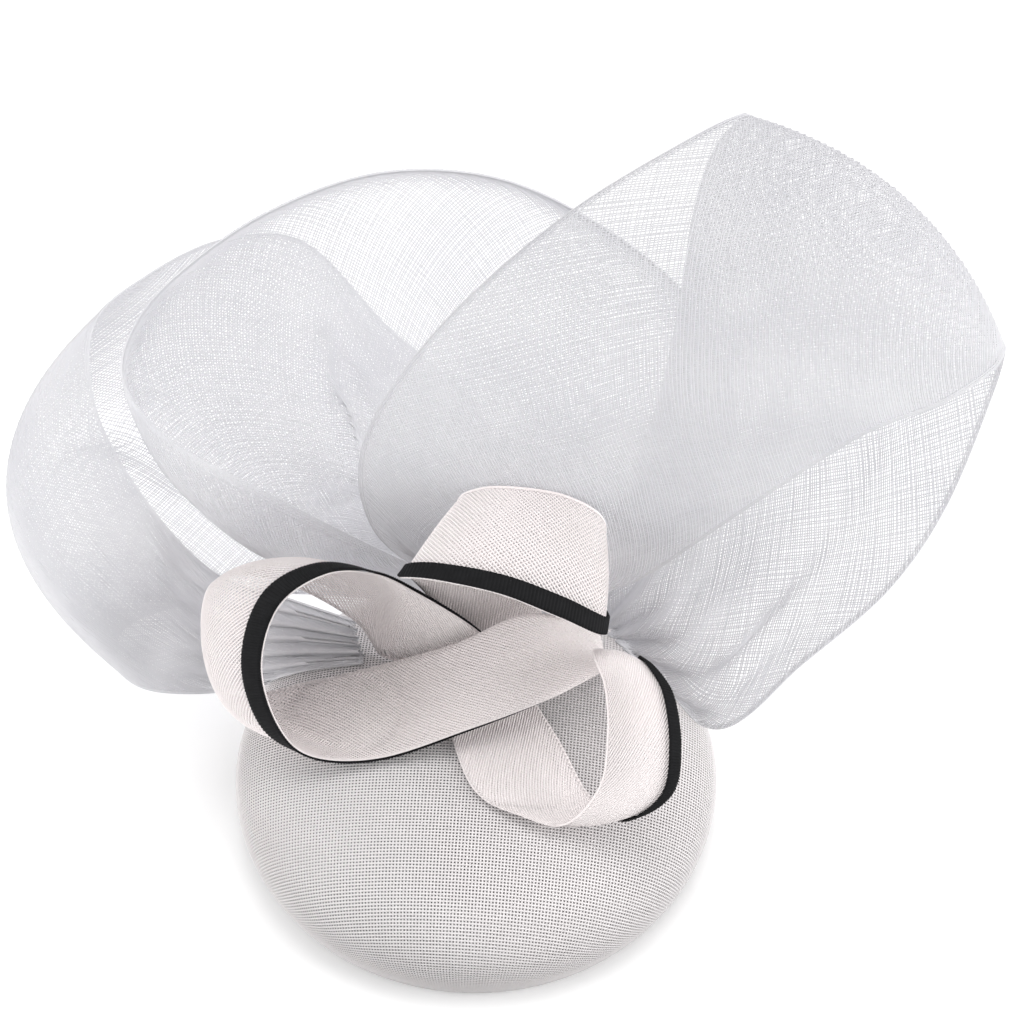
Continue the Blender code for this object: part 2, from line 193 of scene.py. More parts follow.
def cap_surface(warp, weft):
    """Places and outward normals on the cap for places on the flat cloth.

    The cloth's distance from its middle is the distance along the profile, and its
    direction is the direction round the axis.
    """
    radius, height, distance = cap_profile()
    out = np.hypot(warp, weft)
    turn = np.arctan2(weft, warp) + CAP_TURN
    r = np.interp(out, distance, radius)
    z = np.interp(out, distance, height)
    run = np.interp(out, distance, np.gradient(radius, distance))
    rise = np.interp(out, distance, np.gradient(height, distance))
    points = np.stack((r * np.cos(turn), r * np.sin(turn), z), axis=-1) + cap_axis
    normals = np.stack((-rise * np.cos(turn), -rise * np.sin(turn), run), axis=-1)
    return points, unit(normals)


def unit(vectors):
    """Each vector divided by its length."""
    return vectors / np.maximum(np.linalg.norm(vectors, axis=-1, keepdims=True), 1e-12)


def thread_shape(points, normals, keep, width, depth):
    """Vertices and faces of threads with a triangular section.

    Each row of points is one thread. Two corners of the section lie half a width to each
    side, along normal cross direction, and the third stands one depth along the normal.
    Only steps between two kept points are built, and both ends of each run are closed.
    """
    direction = unit(np.gradient(points, axis=1))
    aside = unit(np.cross(normals, direction)) * width / 2
    corners = np.stack((points - aside, points + aside, points + normals * depth), axis=2)
    count, steps = keep.shape
    step = keep[:, 1:] & keep[:, :-1]
    first = 3 * np.arange(count * steps).reshape(count, steps)
    near, far = first[:, :-1][step], first[:, 1:][step]
    sides = [
        np.stack((near + a, near + b, far + b, far + a), axis=1)
        for a, b in ((1, 0), (2, 1), (0, 2))
    ]
    blank = np.zeros((count, 1), bool)
    starts = step & ~np.hstack((blank, step[:, :-1]))
    ends = step & ~np.hstack((step[:, 1:], blank))
    start, end = first[:, :-1][starts], first[:, 1:][ends]
    caps = [
        np.stack((start, start + 1, start + 2), axis=1),
        np.stack((end + 2, end + 1, end), axis=1),
    ]
    return corners.reshape(-1, 3), np.concatenate(sides), np.concatenate(caps)


def thread_piece(name, shapes, finish):
    """One object from several sets of threads, with unused vertices dropped."""
    places, quads, tips, start = [], [], [], 0
    for corners, sides, caps in shapes:
        places.append(corners)
        quads.append(sides + start)
        tips.append(caps + start)
        start += len(corners)
    places, quads, tips = np.concatenate(places), np.concatenate(quads), np.concatenate(tips)
    used = np.zeros(len(places), bool)
    used[quads.ravel()] = True
    place_of = np.cumsum(used) - 1
    mesh = bpy.data.meshes.new(name)
    faces = place_of[quads].tolist() + place_of[tips].tolist()
    mesh.from_pydata(places[used].tolist(), [], faces)
    mesh.polygons.foreach_set("use_smooth", np.ones(len(faces), bool))
    mesh.materials.append(finish)
    piece = bpy.data.objects.new(name, mesh)
    bpy.context.scene.collection.objects.link(piece)
    return piece


def cap_threads(across_weft):
    """One direction of the weave: parallel lines on the flat cloth, each cut at its edge."""
    edge = cap_profile()[2][-1]
    half = int(edge / CAP_PITCH)
    line = np.arange(-half, half + 1)[:, None] * CAP_PITCH
    reach = np.sqrt(np.maximum(edge**2 - line**2, 0))
    along = reach * np.linspace(-1, 1, CAP_STEPS)[None, :]
    line = line + 0 * along
    warp, weft = (along, line) if across_weft else (line, along)
    points, normals = cap_surface(warp, weft)
    lift = CAP_LIFT + (CAP_THREAD_DEPTH * CAP_OVER if across_weft else 0.0)
    keep = np.ones(points.shape[:2], bool)
    return thread_shape(points + normals * lift, normals, keep, CAP_THREAD, CAP_THREAD_DEPTH)


def straw_material(name, tint, shade, scale):
    """Dry plant fibre: two tints mixed by a fine grain and a slow cloud, with a soft fuzz."""
    made = bpy.data.materials.new(name)
    made.use_nodes = True
    tree = made.node_tree
    shader = tree.nodes["Principled BSDF"]
    where = tree.nodes.new("ShaderNodeTexCoord")
    grain = tree.nodes.new("ShaderNodeTexNoise")
    grain.inputs["Scale"].default_value = scale
    grain.inputs["Detail"].default_value = 3.0
    cloud = tree.nodes.new("ShaderNodeTexNoise")
    cloud.inputs["Scale"].default_value = STRAW_CLOUD
    blend = tree.nodes.new("ShaderNodeMix")
    blend.data_type = "FLOAT"
    blend.inputs[0].default_value = STRAW_CLOUD_SHARE
    ramp = tree.nodes.new("ShaderNodeValToRGB")
    ramp.color_ramp.elements[0].position = 0.32
    ramp.color_ramp.elements[0].color = (*shade, 1)
    ramp.color_ramp.elements[1].position = 0.62
    ramp.color_ramp.elements[1].color = (*tint, 1)
    bump = tree.nodes.new("ShaderNodeBump")
    bump.inputs["Strength"].default_value = 0.25
    bump.inputs["Distance"].default_value = STRAW_FUZZ
    tree.links.new(where.outputs["Object"], grain.inputs["Vector"])
    tree.links.new(where.outputs["Object"], cloud.inputs["Vector"])
    tree.links.new(grain.outputs["Fac"], blend.inputs[2])
    tree.links.new(cloud.outputs["Fac"], blend.inputs[3])
    tree.links.new(blend.outputs[0], ramp.inputs["Fac"])
    tree.links.new(ramp.outputs["Color"], shader.inputs["Base Color"])
    tree.links.new(grain.outputs["Fac"], bump.inputs["Height"])
    tree.links.new(bump.outputs["Normal"], shader.inputs["Normal"])
    shader.inputs["Roughness"].default_value = 0.6
    shader.inputs["Specular IOR Level"].default_value = 0.35
    shader.inputs["Sheen Weight"].default_value = 0.1
    return made


def cap_thread_material():
    """Straw with painted shade: a little darker towards the rim, where the low wall gets less
    light.
    """
    made = straw_material("cap_thread", CAP_TINT, CAP_SHADE, STRAW_GRAIN)
    tree = made.node_tree
    ramp = next(node for node in tree.nodes if node.type == "VALTORGB")
    where = next(node for node in tree.nodes if node.type == "TEX_COORD")
    height = tree.nodes.new("ShaderNodeSeparateXYZ")
    # Painted shade: the tint is scaled down towards the rim, by height
    share = tree.nodes.new("ShaderNodeMapRange")
    share.inputs["From Max"].default_value = RIM_PAINTED_SHADE_TOP
    share.inputs["To Min"].default_value = RIM_PAINTED_SHADE
    painted_rim_shade = tree.nodes.new("ShaderNodeVectorMath")
    painted_rim_shade.operation = "SCALE"
    tree.links.new(where.outputs["Object"], height.inputs[0])
    tree.links.new(height.outputs["Z"], share.inputs["Value"])
    tree.links.new(ramp.outputs["Color"], painted_rim_shade.inputs[0])
    tree.links.new(share.outputs["Result"], painted_rim_shade.inputs["Scale"])
    tree.links.new(painted_rim_shade.outputs["Vector"], tree.nodes["Principled BSDF"].inputs["Base Color"])
    return made


def cap_inside_material():
    """Painted shade between the threads on the outside, pale straw on the inside, told by the
    normal.

    The outside is where the normal points away from the cap's middle, which is when the
    dot product of the normal and the place from that middle is above zero. The painted shade
    there turns to painted light towards the right, where more light comes through the weave.
    """
    made = straw_material("cap_inside_with_painted_gap_shade", INSIDE_STRAW_AND_PAINTED_LIGHT, INSIDE_STRAW_AND_PAINTED_LIGHT, INSIDE_GRAIN)
    tree = made.node_tree
    shader = tree.nodes["Principled BSDF"]
    ramp = next(node for node in tree.nodes if node.type == "VALTORGB")
    place = tree.nodes.new("ShaderNodeNewGeometry")
    middle = tree.nodes.new("ShaderNodeVectorMath")
    middle.operation = "SUBTRACT"
    middle.inputs[1].default_value = tuple(cap_axis)
    facing = tree.nodes.new("ShaderNodeVectorMath")
    facing.operation = "DOT_PRODUCT"
    outside = tree.nodes.new("ShaderNodeMath")
    outside.operation = "GREATER_THAN"
    outside.inputs[1].default_value = 0.0
    mix = tree.nodes.new("ShaderNodeMix")
    mix.data_type = "RGBA"
    where = next(node for node in tree.nodes if node.type == "TEX_COORD")
    tree.links.new(where.outputs["Object"], middle.inputs[0])
    tree.links.new(middle.outputs["Vector"], facing.inputs[0])
    tree.links.new(place.outputs["Normal"], facing.inputs[1])
    tree.links.new(facing.outputs["Value"], outside.inputs[0])
    tree.links.new(outside.outputs["Value"], mix.inputs[0])
    tree.links.new(ramp.outputs["Color"], mix.inputs[6])
    # Painted shade between the threads, turning to painted light towards the right
    across = tree.nodes.new("ShaderNodeSeparateXYZ")
    side = tree.nodes.new("ShaderNodeMapRange")
    side.inputs["From Min"].default_value = GAP_PAINTED_SHADE_FROM
    side.inputs["From Max"].default_value = INSIDE_STRAW_AND_PAINTED_LIGHT_BY
    gap_painted_shade = tree.nodes.new("ShaderNodeMix")
    gap_painted_shade.data_type = "RGBA"
    gap_painted_shade.inputs[6].default_value = (*GAP_PAINTED_SHADE, 1)
    gap_painted_shade.inputs[7].default_value = (*INSIDE_STRAW_AND_PAINTED_LIGHT, 1)
    tree.links.new(middle.outputs["Vector"], across.inputs[0])
    tree.links.new(across.outputs["X"], side.inputs["Value"])
    tree.links.new(side.outputs["Result"], gap_painted_shade.inputs[0])
    tree.links.new(gap_painted_shade.outputs[2], mix.inputs[7])
    tree.links.new(mix.outputs[2], shader.inputs["Base Color"])
    return made


cap_thread = cap_thread_material()
base_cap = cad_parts["base_cap"]
base_cap.material_slots[0].material = cap_inside_material()
cap_weave = thread_piece("cap_weave", [cap_threads(True), cap_threads(False)], cap_thread)
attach(cap_weave, "root")

# Comb: one clear plastic comb sewn inside the front of the cap, its teeth pointing back.
# Moulded in one piece, slightly cloudy, with a satin skin.
COMB_CLOUDY = (0.66, 0.67, 0.68)
COMB_CLEAR = (0.80, 0.80, 0.81)

comb_clear = bpy.data.materials.new("comb_clear")
comb_clear.use_nodes = True
comb_tree = comb_clear.node_tree
comb_shader = comb_tree.nodes["Principled BSDF"]
comb_where = comb_tree.nodes.new("ShaderNodeTexCoord")
comb_cloud = comb_tree.nodes.new("ShaderNodeTexNoise")
comb_cloud.inputs["Scale"].default_value = 120.0
comb_ramp = comb_tree.nodes.new("ShaderNodeValToRGB")
comb_ramp.color_ramp.elements[0].color = (*COMB_CLOUDY, 1)
comb_ramp.color_ramp.elements[1].color = (*COMB_CLEAR, 1)
comb_tree.links.new(comb_where.outputs["Object"], comb_cloud.inputs["Vector"])
comb_tree.links.new(comb_cloud.outputs["Fac"], comb_ramp.inputs["Fac"])
comb_tree.links.new(comb_ramp.outputs["Color"], comb_shader.inputs["Base Color"])
comb_shader.inputs["Roughness"].default_value = 0.28
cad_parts["hair_comb"].material_slots[0].material = comb_clear


# Crin loops: wide ribbon braided on the bias from clear nylon thread, its two edges closed
# by the thread turning back. Each loop is folded, pleated at its ends and sewn to the back
# of the crown. The threads are modelled one by one, so the ribbon is as clear as it is.
FAN_LEAN = math.radians(35)
KNOT_BACK = 0.41 * CAP_RADIUS
FAN_SPREAD = 0.156
FAN_RISE = 0.160
FAN_STAND = 0.060
CRIN_CUT = 0.150
CRIN_PITCH = 0.00092
CRIN_DEPTH = 0.00030
CRIN_PLEAT = 0.0022
CRIN_PLEATS = 6
CRIN_LIFT = 0.0016
CRIN_TINT = (0.90, 0.895, 0.92)
CRIN_SHADE = (0.82, 0.815, 0.85)
CRIN_ROUGH = 0.45
CRIN_WANDER = 0.20
CRIN_GRID = (300, 97)
BOWL_GRID = (400, 97)
BOWL_MEASURED_ROWS = (100, 200, 300)
BOWL_CURVE_STEPS = 200
CURVE_STEPS = 24
SLOPE_STEP = 0.0005
EDGE_WIDER = 1.4
EDGE_DEEPER = 1.6
BOWL_WALL = 0.040
BOWL_GATHER = 0.010
BOWL_GATHER_FROM = math.radians(200)
BOWL_GATHER_TURN = math.radians(220)
BOWL_GATHER_RISE = 0.008
BOWL_GATHER_BACK = 0.012
BOWL_FLOOR_REACH = 0.5
SIGHT_SLOPE = math.radians(15)
# Shares of the fan's spread, rise and stand for each edge, then bow and pleat:
# low_spread, low_rise, low_stand, high_spread, high_rise, high_stand, bow, pleat
LEFT_CRIN = (
    (-0.22, -0.04, 0.03, -0.24, 0.05, -0.02, 0.00, 1.0),
    (-0.34, -0.07, -0.05, -0.36, 0.08, -0.12, 0.02, 0.8),
    (-0.50, -0.11, -0.18, -0.51, 0.13, -0.15, 0.06, 0.3),
    (-0.63, -0.11, -0.18, -0.63, 0.28, 0.03, 0.12, 0.0),
    (-0.70, -0.09, -0.27, -0.73, 0.46, 0.00, 0.21, 0.0),
    (-0.73, -0.06, -0.50, -0.74, 0.61, -0.20, 0.28, 0.0),
    (-0.69, -0.03, -0.76, -0.65, 0.68, -0.50, 0.19, 0.0),
    (-0.53, 0.01, -0.80, -0.50, 0.74, -0.70, 0.10, 0.0),
    (-0.36, 0.03, -0.70, -0.34, 0.73, -0.75, 0.05, 0.1),
    (-0.20, 0.03, -0.57, -0.18, 0.57, -0.72, 0.03, 0.5),
    (-0.13, 0.00, -0.56, 0.03, 0.36, -0.70, 0.00, 0.8),
    (-0.10, -0.04, -0.56, 0.08, 0.02, -0.60, 0.00, 1.0),
)
RIGHT_CRIN = (
    (0.17, 0.03, 0.00, 0.07, 0.05, -0.06, 0.00, 1.0),
    (0.25, 0.12, 0.12, -0.08, 0.14, 0.03, 0.00, 0.6),
    (0.34, 0.17, 0.20, -0.20, 0.25, 0.12, 0.02, 0.2),
    (0.51, 0.31, 0.40, -0.21, 0.44, 0.38, 0.06, 0.0),
    (0.72, 0.47, 0.60, -0.07, 0.67, 0.62, 0.14, 0.0),
    (0.88, 0.53, 0.55, 0.16, 0.88, 0.68, 0.15, 0.0),
    (0.98, 0.58, 0.40, 0.39, 1.02, 0.66, 0.14, 0.0),
    (1.01, 0.60, 0.17, 0.50, 1.06, 0.53, 0.12, 0.0),
    (1.00, 0.50, -0.03, 0.45, 0.99, 0.36, 0.10, 0.0),
    (0.92, 0.27, -0.12, 0.41, 0.85, 0.26, 0.08, 0.0),
    (0.81, 0.11, -0.06, 0.39, 0.69, 0.19, 0.06, 0.0),
    (0.64, -0.02, 0.10, 0.35, 0.49, 0.13, 0.04, 0.3),
    (0.47, -0.14, 0.20, 0.29, 0.32, 0.03, 0.02, 0.7),
    (0.31, -0.05, -0.15, 0.22, 0.04, -0.30, 0.00, 1.0),
)
# rim_spread, rim_rise, rim_stand, then wall and flare
MIDDLE_CRIN = (
    (-0.08, 0.12, -0.20, 0.2, 0.3),
    (-0.22, 0.21, 0.02, 0.8, 0.6),
    (-0.42, 0.35, 0.35, 1.0, 0.6),
    (-0.58, 0.44, 0.35, 1.0, 0.4),
    (-0.67, 0.54, 0.23, 1.0, 0.1),
    (-0.65, 0.64, 0.15, 1.0, 0.0),
    (-0.56, 0.74, 0.10, 1.0, 0.0),
    (-0.39, 0.85, 0.05, 0.8, 0.0),
    (-0.18, 0.92, 0.03, 0.6, 0.0),
    (0.04, 0.91, 0.02, 0.6, 0.0),
    (0.24, 0.82, 0.02, 0.8, 0.0),
    (0.41, 0.68, 0.00, 1.0, 0.0),
    (0.50, 0.48, -0.05, 1.0, 0.0),
    (0.47, 0.31, -0.12, 0.9, 0.0),
    (0.33, 0.19, -0.20, 0.6, 0.0),
    (0.14, 0.12, -0.26, 0.2, 0.0),
)


def crown_height(radius):
    """Height of the crown: widest + (height - widest) (1 - (r/R)^n)^(1/n)."""
    share = np.clip(radius / CAP_RADIUS, 0.0, 0.999)
    arch = (1 - share**CAP_ROUNDNESS) ** (1 / CAP_ROUNDNESS)
    return CAP_WIDEST + (CAP_HEIGHT - CAP_WIDEST) * arch


knot = cap_axis + (0.0, KNOT_BACK, float(crown_height(KNOT_BACK)))
across_fan = np.array((1.0, 0.0, 0.0))
up_fan = np.array((0.0, math.sin(FAN_LEAN), math.cos(FAN_LEAN)))
out_of_fan = np.array((0.0, -math.cos(FAN_LEAN), math.sin(FAN_LEAN)))


def fan_points(shares):
    """Knot + spread share across + rise share up the fan + stand share out of it."""
    lengths = np.asarray(shares) * (FAN_SPREAD, FAN_RISE, FAN_STAND)
    return knot + lengths @ np.array((across_fan, up_fan, out_of_fan))


def smooth_rows(rows):
    """Catmull-Rom curve through the rows.

    Between b and c it is half of 2b + (c-a)t + (2a-5b+4c-d)t2 + (3b-a-3c+d)t3.
    """
    rows = np.asarray(rows, float)
    knots = np.vstack((2 * rows[0] - rows[1], rows, 2 * rows[-1] - rows[-2]))
    spans = len(rows) - 1
    at = np.linspace(0, spans, spans * CURVE_STEPS + 1)
    index = np.minimum(at.astype(int), spans - 1)
    t = (at - index)[:, None]
    a, b, c, d = (knots[index + k] for k in range(4))
    bend = 2 * a - 5 * b + 4 * c - d
    twist = 3 * b - a - 3 * c + d
    return 0.5 * (2 * b + (c - a) * t + bend * t**2 + twist * t**3)


def path_length(points):
    """Distance along a row of points, from its start."""
    steps = np.linalg.norm(np.diff(points, axis=0), axis=1)
    return np.concatenate(((0.0,), np.cumsum(steps)))


def even_rows(values, middles, count):
    """Values read again at even distances along the path of the middles."""
    along = path_length(middles)
    wanted = np.linspace(0, along[-1], count)
    return np.stack([np.interp(wanted, along, column) for column in values.T], axis=1)


def above_crown(points, lift):
    """Points raised to lie at least lift from the crown, square to its slope."""
    points = points.copy()
    radius = np.hypot(points[..., 0] - cap_axis[0], points[..., 1] - cap_axis[1])
    rise = crown_height(radius + SLOPE_STEP) - crown_height(radius - SLOPE_STEP)
    slope = rise / (2 * SLOPE_STEP)
    floor = crown_height(radius) + lift * np.sqrt(1 + slope**2)
    over = radius < CAP_RADIUS
    points[..., 2] = np.where(over, np.maximum(points[..., 2], floor), points[..., 2])
    return points


def ribbon_grid(table, along, across, facing, pleat, pleats, lift, reach=(0.0, 1.0), offset=0.0):
    """Grid of a looped ribbon: first edge + share of the width + outward bow, pleats and offset.

    The bow is a parabola 4s(1-s) across the width and the pleats are a sine of it.
    """
    flat = np.zeros((len(table), 8 - len(table[0])))
    dense = smooth_rows(np.hstack((table, flat)))
    first, second = fan_points(dense[:, 0:3]), fan_points(dense[:, 3:6])
    rows = even_rows(np.hstack((first, second, dense[:, 6:8])), (first + second) / 2, along)
    first, second = rows[:, None, 0:3], rows[:, None, 3:6]
    travel = np.gradient((rows[:, 0:3] + rows[:, 3:6]) / 2, axis=0)
    width = second - first
    outward = facing * unit(np.cross(travel[:, None, :], width))
    share = np.linspace(*reach, across)[None, :]
    span = np.linalg.norm(width, axis=-1)
    bulge = rows[:, 6:7] * span * 4 * share * (1 - share)
    fold = rows[:, 7:8] * pleat * np.sin(2 * math.pi * pleats * share)
    points = first + width * share[..., None] + outward * (bulge + fold + offset)[..., None]
    return above_crown(points, lift)


def bowl_grid(table, along, across, lift):
    """Grid of the bowl: a quartic Bezier from the rim, twice the wall's foot, to the gather."""
    dense = smooth_rows(table)
    rim = fan_points(dense[:, 0:3])
    rows = even_rows(np.hstack((rim, dense[:, 3:5])), rim, along)
    rim, wall, flare = rows[:, None, 0:3], rows[:, None, 3:4], rows[:, None, 4:5]
    turn = BOWL_GATHER_FROM - np.linspace(0, 1, along)[:, None] * BOWL_GATHER_TURN
    ring = np.hstack((BOWL_GATHER * np.cos(turn), BOWL_GATHER * np.sin(turn), 0 * turn))
    centre = knot + BOWL_GATHER_RISE * up_fan - BOWL_GATHER_BACK * out_of_fan
    gather = (centre + ring @ np.array((across_fan, up_fan, out_of_fan)))[:, None, :]
    outward = unit(np.cross(out_of_fan, np.gradient(rim, axis=0)))
    away = -(math.cos(SIGHT_SLOPE) * out_of_fan + math.sin(SIGHT_SLOPE) * up_fan)
    corner = rim + wall * BOWL_WALL * (away + flare * outward)
    ease = gather + BOWL_FLOOR_REACH * (corner - gather)
    even = np.linspace(0, 1, BOWL_CURVE_STEPS)
    s = even[None, :, None]
    points = rim * (1 - s) ** 4 + 4 * corner * s * (1 - s) ** 3 + 6 * corner * (s * (1 - s)) ** 2
    points = points + 4 * ease * s**3 * (1 - s) + gather * s**4
    distance = path_length(points[along // 2])
    evenly = np.interp(np.linspace(0, distance[-1], across), distance, even)
    column = evenly * (BOWL_CURVE_STEPS - 1)
    low = np.minimum(column.astype(int), BOWL_CURVE_STEPS - 2)
    part = (column - low)[None, :, None]
    return above_crown(points[:, low] * (1 - part) + points[:, low + 1] * part, lift)


def read_grid(grid, u, v):
    """Bilinear reading of a grid at shares u along and v across."""
    rows, columns = grid.shape[:2]
    x, y = np.clip(u, 0, 1) * (rows - 1), np.clip(v, 0, 1) * (columns - 1)
    i, j = np.minimum(x.astype(int), rows - 2), np.minimum(y.astype(int), columns - 2)
    a, b = (x - i)[..., None], (y - j)[..., None]
    near = grid[i, j] * (1 - b) + grid[i, j + 1] * b
    far = grid[i + 1, j] * (1 - b) + grid[i + 1, j + 1] * b
    return near * (1 - a) + far * a


def grid_normals(grid, facing):
    """Unit cross product of the grid's two directions."""
    return facing * unit(np.cross(np.gradient(grid, axis=0), np.gradient(grid, axis=1)))


def pressed(grid, facing, length, cut, folds):
    """Grid with folds pressed in: depth times exp(-(distance to the fold's line / width)^2)."""
    rows, columns = grid.shape[:2]
    flat = np.meshgrid(np.linspace(0, length, rows), np.linspace(0, cut, columns), indexing="ij")
    flat = np.stack(flat, axis=-1)
    push = np.zeros((rows, columns))
    for first_u, first_v, last_u, last_v, width, depth in folds:
        first = np.array((first_u * length, first_v * cut))
        line = np.array((last_u * length, last_v * cut)) - first
        share = np.clip((flat - first) @ line / (line @ line), 0, 1)
        away = np.linalg.norm(flat - first - share[..., None] * line, axis=-1)
        push += depth * np.exp(-((away / width) ** 2))
    return grid + grid_normals(grid, facing) * push[..., None]


def bias_threads(grid, facing, length, cut, pitch, steps, width, depth, wander, lean):
    """Threads that cross the ribbon on the bias, u = start + lean v cut / length + sway.

    The sway is a slow sine of each thread's own length and phase, a share of the pitch high.
    """
    count = int((length + cut) / (pitch * math.sqrt(2)))
    low, high = (-cut / length, 1.0) if lean > 0 else (0.0, 1 + cut / length)
    start = np.linspace(low, high, count)
    v = np.linspace(0, 1, steps)[None, :] + 0 * start[:, None]
    chance = np.random.default_rng(count)
    loose = wander * pitch * math.sqrt(2) / length
    phase = chance.uniform(0, 2 * math.pi, (count, 1))
    sway = np.sin(2 * math.pi * v * chance.uniform(1.5, 4.0, (count, 1)) + phase)
    u = start[:, None] + lean * v * cut / length + loose * sway
    inside = (u >= 0) & (u <= 1)
    beside = inside.copy()
    beside[:, 1:] |= inside[:, :-1]
    beside[:, :-1] |= inside[:, 1:]
    points = read_grid(grid, u, v)
    normals = read_grid(grid_normals(grid, facing), u, v)
    return thread_shape(points, unit(normals) * lean, beside, width, depth)


def edge_threads(grid, facing, shares, steps, width, depth):
    """Threads that run along the ribbon at the given shares of its width."""
    u = np.linspace(0, 1, steps)[None, :] + 0 * np.asarray(shares)[:, None]
    v = np.asarray(shares)[:, None] + 0 * u
    points = read_grid(grid, u, v)
    normals = unit(read_grid(grid_normals(grid, facing), u, v))
    return thread_shape(points, normals, np.ones(u.shape, bool), width, depth)


def crin_material(name, part):
    """Clear nylon thread: a grey that varies slowly, with a smooth shine."""
    made = bpy.data.materials.new(name)
    made.use_nodes = True
    tree = made.node_tree
    shader = tree.nodes["Principled BSDF"]
    where = tree.nodes.new("ShaderNodeTexCoord")
    cloud = tree.nodes.new("ShaderNodeTexNoise")
    cloud.inputs["Scale"].default_value = 35.0
    cloud.inputs["Detail"].default_value = 4.0
    ramp = tree.nodes.new("ShaderNodeValToRGB")
    ramp.color_ramp.elements[0].position = 0.3
    ramp.color_ramp.elements[0].color = (*(part * tone for tone in CRIN_SHADE), 1)
    ramp.color_ramp.elements[1].position = 0.7
    ramp.color_ramp.elements[1].color = (*(part * tone for tone in CRIN_TINT), 1)
    tree.links.new(where.outputs["Object"], cloud.inputs["Vector"])
    tree.links.new(cloud.outputs["Fac"], ramp.inputs["Fac"])
    tree.links.new(ramp.outputs["Color"], shader.inputs["Base Color"])
    shader.inputs["Roughness"].default_value = CRIN_ROUGH
    return made


CRIN_EDGES = (0.0, 0.004, 0.010, 0.990, 0.996, 1.0)
BOWL_EDGES = (0.0, 0.004, 0.009, 0.015, 0.022)
# Folds: first_u, first_v, last_u, last_v as shares of length and width, then width and depth
LEFT_FOLDS = (
    (0.475, 0.50, 0.545, 0.32, 0.0055, -0.0085),
    (0.510, 0.52, 0.570, 0.36, 0.0070, 0.0035),
)
BOWL_FOLDS = (
    (0.403, 0.400, 0.380, 0.560, 0.0060, -0.0060),
    (0.380, 0.560, 0.360, 0.670, 0.0060, -0.0080),
    (0.410, 0.480, 0.390, 0.680, 0.0080, 0.0050),
    (0.263, 0.640, 0.320, 0.710, 0.0045, -0.0040),
)
RIGHT_FOLDS = (
    (0.667, 0.25, 0.870, 0.19, 0.0110, -0.0045),
    (0.20, 0.30, 0.33, 0.55, 0.0120, -0.0030),
)


def crin_piece(node, grid, facing, cut, length, steps, edge_steps, edges, thread, finish):
    """One crin ribbon in place of its solid: two bias directions of thread and its edges.

    It casts no shadow, because clear nylon lets the light through.
    """
    size, edge_size = (thread, CRIN_DEPTH), (thread * EDGE_WIDER, CRIN_DEPTH * EDGE_DEEPER)
    shapes = [
        bias_threads(grid, facing, length, cut, CRIN_PITCH, steps, *size, CRIN_WANDER, 1),
        bias_threads(grid, facing, length, cut, CRIN_PITCH, steps, *size, CRIN_WANDER, -1),
        edge_threads(grid, facing, edges, edge_steps, *edge_size),
    ]
    piece = thread_piece(node + "_braid", shapes, finish)
    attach(piece, "root")
    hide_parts(node)
    piece.visible_shadow = False


left_grid = ribbon_grid(LEFT_CRIN, *CRIN_GRID, -1, CRIN_PLEAT, CRIN_PLEATS, CRIN_LIFT)
left_length = float(path_length(left_grid[:, CRIN_GRID[1] // 2])[-1])
left_grid = pressed(left_grid, -1, left_length, CRIN_CUT, LEFT_FOLDS)
crin_piece(
    "crin_loop_left",
    left_grid,
    facing=-1,
    cut=CRIN_CUT,
    length=left_length,
    steps=46,
    edge_steps=200,
    edges=CRIN_EDGES,
    thread=0.00030,
    finish=crin_material("crin_thread_left", 0.85),
)

bowl = bowl_grid(MIDDLE_CRIN, *BOWL_GRID, CRIN_LIFT)
bowl_length = float(path_length(bowl[:, 0])[-1])
bowl_cut = float(max(path_length(bowl[row])[-1] for row in BOWL_MEASURED_ROWS))
bowl = pressed(bowl, -1, bowl_length, bowl_cut, BOWL_FOLDS)
crin_piece(
    "crin_loop_middle",
    bowl,
    facing=-1,
    cut=bowl_cut,
    length=bowl_length,
    steps=46,
    edge_steps=260,
    edges=BOWL_EDGES,
    thread=0.00031,
    finish=crin_material("crin_thread_middle", 0.86),
)

right_grid = ribbon_grid(RIGHT_CRIN, *CRIN_GRID, 1, CRIN_PLEAT, CRIN_PLEATS, CRIN_LIFT)
right_length = float(path_length(right_grid[:, CRIN_GRID[1] // 2])[-1])
right_grid = pressed(right_grid, 1, right_length, CRIN_CUT, RIGHT_FOLDS)
crin_piece(
    "crin_loop_right",
    right_grid,
    facing=1,
    cut=CRIN_CUT,
    length=right_length,
    steps=50,
    edge_steps=240,
    edges=CRIN_EDGES,
    thread=0.00039,
    # The right loop's nylon is a darker copy of the same grey, as painted shade
    finish=crin_material("crin_thread_right", 0.80),
)


# Bow: three loops of a 40 mm strip of straw weave, cut on the bias and stiffened, edged on
# the outside of the front edge with 6 mm black grosgrain. The loops cross over the knot.
STRIP_CUT = 0.040
STRAW_TINT = (0.94, 0.88, 0.875)
STRAW_SHADE = (0.88, 0.815, 0.81)
STRIP_PITCH = 0.00100
STRIP_THREAD = 0.00072
STRIP_DEPTH = 0.00022
STRIP_SINK = 0.42
STRIP_LIFT = 0.0021
STRIP_GRID = (260, 41)
STRIP_STEP = 0.0026
STRIP_EDGES = (0.0, 0.012, 0.988, 1.0)
STRIP_EDGE_STEPS = 160
STRAW_WANDER = 0.05
GROSGRAIN_WIDTH = 0.006
GROSGRAIN_WALL = 0.0005
GROSGRAIN_OFFSET = 0.0009
GROSGRAIN_OVERHANG = 0.0005
GROSGRAIN_LIFT = STRIP_LIFT - 0.001
GROSGRAIN_ACROSS = 6
RIB_STEPS = 4
RIB_PITCH = 0.00095
RIB_DEPTH = 0.00015
GROSGRAIN_TINT = (0.009, 0.009, 0.010)
